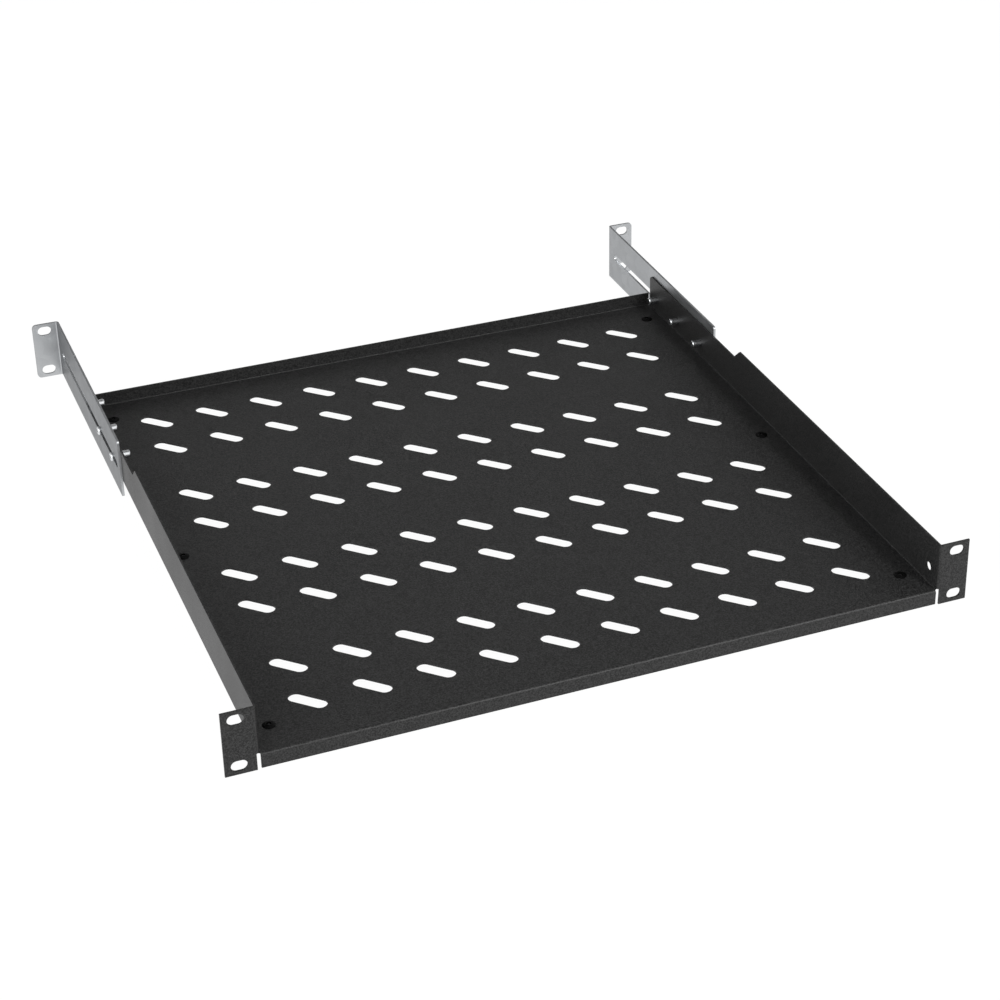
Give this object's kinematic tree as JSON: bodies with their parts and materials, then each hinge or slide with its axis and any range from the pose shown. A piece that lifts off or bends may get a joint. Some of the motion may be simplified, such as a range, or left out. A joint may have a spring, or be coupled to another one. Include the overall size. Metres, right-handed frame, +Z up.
{
  "type": "rack shelf",
  "caption": "One-unit rack shelf: folded steel tray with ears and a floor of diagonal slots, and a sliding slotted rear bracket on each side.",
  "frame": {"origin": "centre of the four front fixing slots, on the rear face of the tray's ears, which seats on the front rails", "axes": "+Z up; +Y from the front towards the rear of the rack; X across the rack, +X to the right seen from the front"},
  "size_m": [0.4826, 0.5336, 0.0444],
  "materials": {
    "black_powder_coat": "fine-textured black powder coat on cold-rolled steel",
    "black_rivet": "black lacquered steel",
    "bright_zinc": "bright zinc plate on steel",
    "galvanised_steel": "plain zinc-coated sheet, unpainted"
  },
  "bodies": {
    "shelf": {"tray": "black_powder_coat", "stiffener_left": "black_powder_coat", "stiffener_right": "black_powder_coat", "rivet_left_front": "black_rivet", "rivet_left_middle": "black_rivet", "rivet_left_rear": "black_rivet", "rivet_right_front": "black_rivet", "rivet_right_middle": "black_rivet", "rivet_right_rear": "black_rivet", "standoff_left_front": "bright_zinc", "standoff_left_middle": "bright_zinc", "standoff_left_rear": "bright_zinc", "standoff_right_front": "bright_zinc", "standoff_right_middle": "bright_zinc", "standoff_right_rear": "bright_zinc", "screw_left_front": "bright_zinc", "screw_left_middle": "bright_zinc", "screw_right_front": "bright_zinc", "screw_right_middle": "bright_zinc"},
    "bracket_left": {"rear_bracket_left": "galvanised_steel"},
    "bracket_right": {"rear_bracket_right": "galvanised_steel"}
  },
  "joints": [
    {"name": "bracket_left_slide", "type": "slide", "parent": "shelf", "child": "bracket_left", "axis": [0, 1, 0], "range_m": [-0.124, 0.0115]},
    {"name": "bracket_right_slide", "type": "slide", "parent": "shelf", "child": "bracket_right", "axis": [0, 1, 0], "range_m": [-0.124, 0.0115]}
  ]
}
